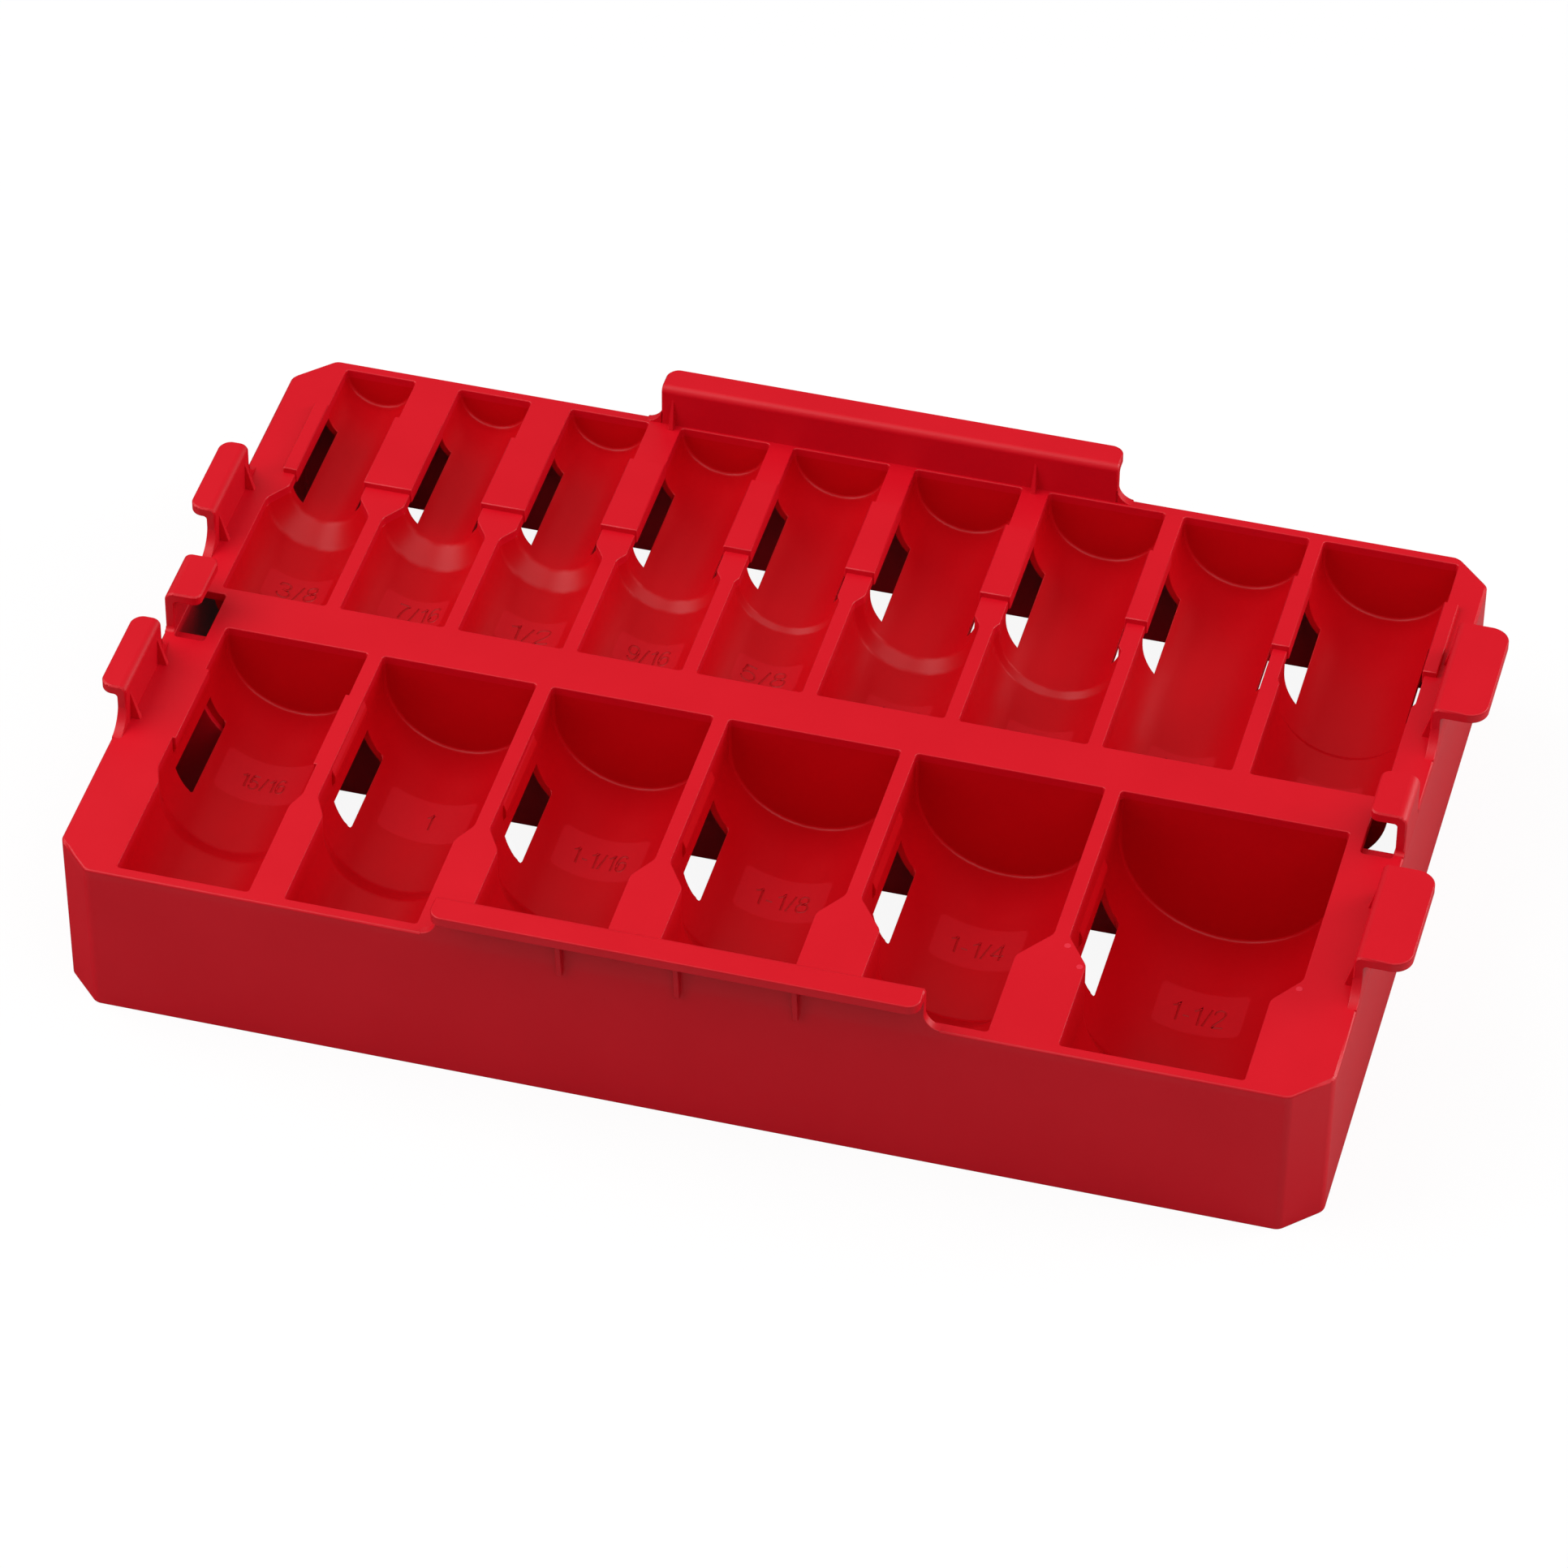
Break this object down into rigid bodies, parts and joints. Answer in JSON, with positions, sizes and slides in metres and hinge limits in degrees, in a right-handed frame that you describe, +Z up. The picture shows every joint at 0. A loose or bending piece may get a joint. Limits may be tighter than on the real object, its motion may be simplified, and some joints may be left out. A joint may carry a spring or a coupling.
{
  "type": "socket organizer",
  "caption": "Moulded tray that holds deep sockets on their sides in two rows of stepped cradles, with flanges, ears and hooks on its rim",
  "frame": {"origin": "Middle of the whole tray's footprint, ears and flanges included, on the plane of the rim that it stands on", "axes": "+X across the tray from the small sockets to the large ones, +Y from its front to its rear, +Z up"},
  "size_m": [0.3044, 0.1976, 0.0516],
  "materials": {
    "red_plastic": "satin"
  },
  "bodies": {
    "root": {"cradle_1": "red_plastic", "cradle_11_16": "red_plastic", "cradle_13_16": "red_plastic", "cradle_15_16": "red_plastic", "cradle_1_1_16": "red_plastic", "cradle_1_1_2": "red_plastic", "cradle_1_1_4": "red_plastic", "cradle_1_1_8": "red_plastic", "cradle_1_2": "red_plastic", "cradle_3_4": "red_plastic", "cradle_3_8": "red_plastic", "cradle_5_8": "red_plastic", "cradle_7_16": "red_plastic", "cradle_7_8": "red_plastic", "cradle_9_16": "red_plastic", "cross_web": "red_plastic", "front_flange": "red_plastic", "front_left_deck": "red_plastic", "front_rail": "red_plastic", "front_right_deck": "red_plastic", "front_wall": "red_plastic", "left_front_ear": "red_plastic", "left_hook": "red_plastic", "left_rear_ear": "red_plastic", "left_wall": "red_plastic", "left_web": "red_plastic", "mid_rail": "red_plastic", "rear_flange": "red_plastic", "rear_left_deck": "red_plastic", "rear_rail": "red_plastic", "rear_right_deck": "red_plastic", "rear_wall": "red_plastic", "rib_left_of_1": "red_plastic", "rib_left_of_11_16": "red_plastic", "rib_left_of_13_16": "red_plastic", "rib_left_of_1_1_16": "red_plastic", "rib_left_of_1_1_2": "red_plastic", "rib_left_of_1_1_4": "red_plastic", "rib_left_of_1_1_8": "red_plastic", "rib_left_of_1_2": "red_plastic", "rib_left_of_3_4": "red_plastic", "rib_left_of_5_8": "red_plastic", "rib_left_of_7_16": "red_plastic", "rib_left_of_7_8": "red_plastic", "rib_left_of_9_16": "red_plastic", "right_front_ear": "red_plastic", "right_hook": "red_plastic", "right_rear_ear": "red_plastic", "right_wall": "red_plastic"}
  },
  "joints": []
}
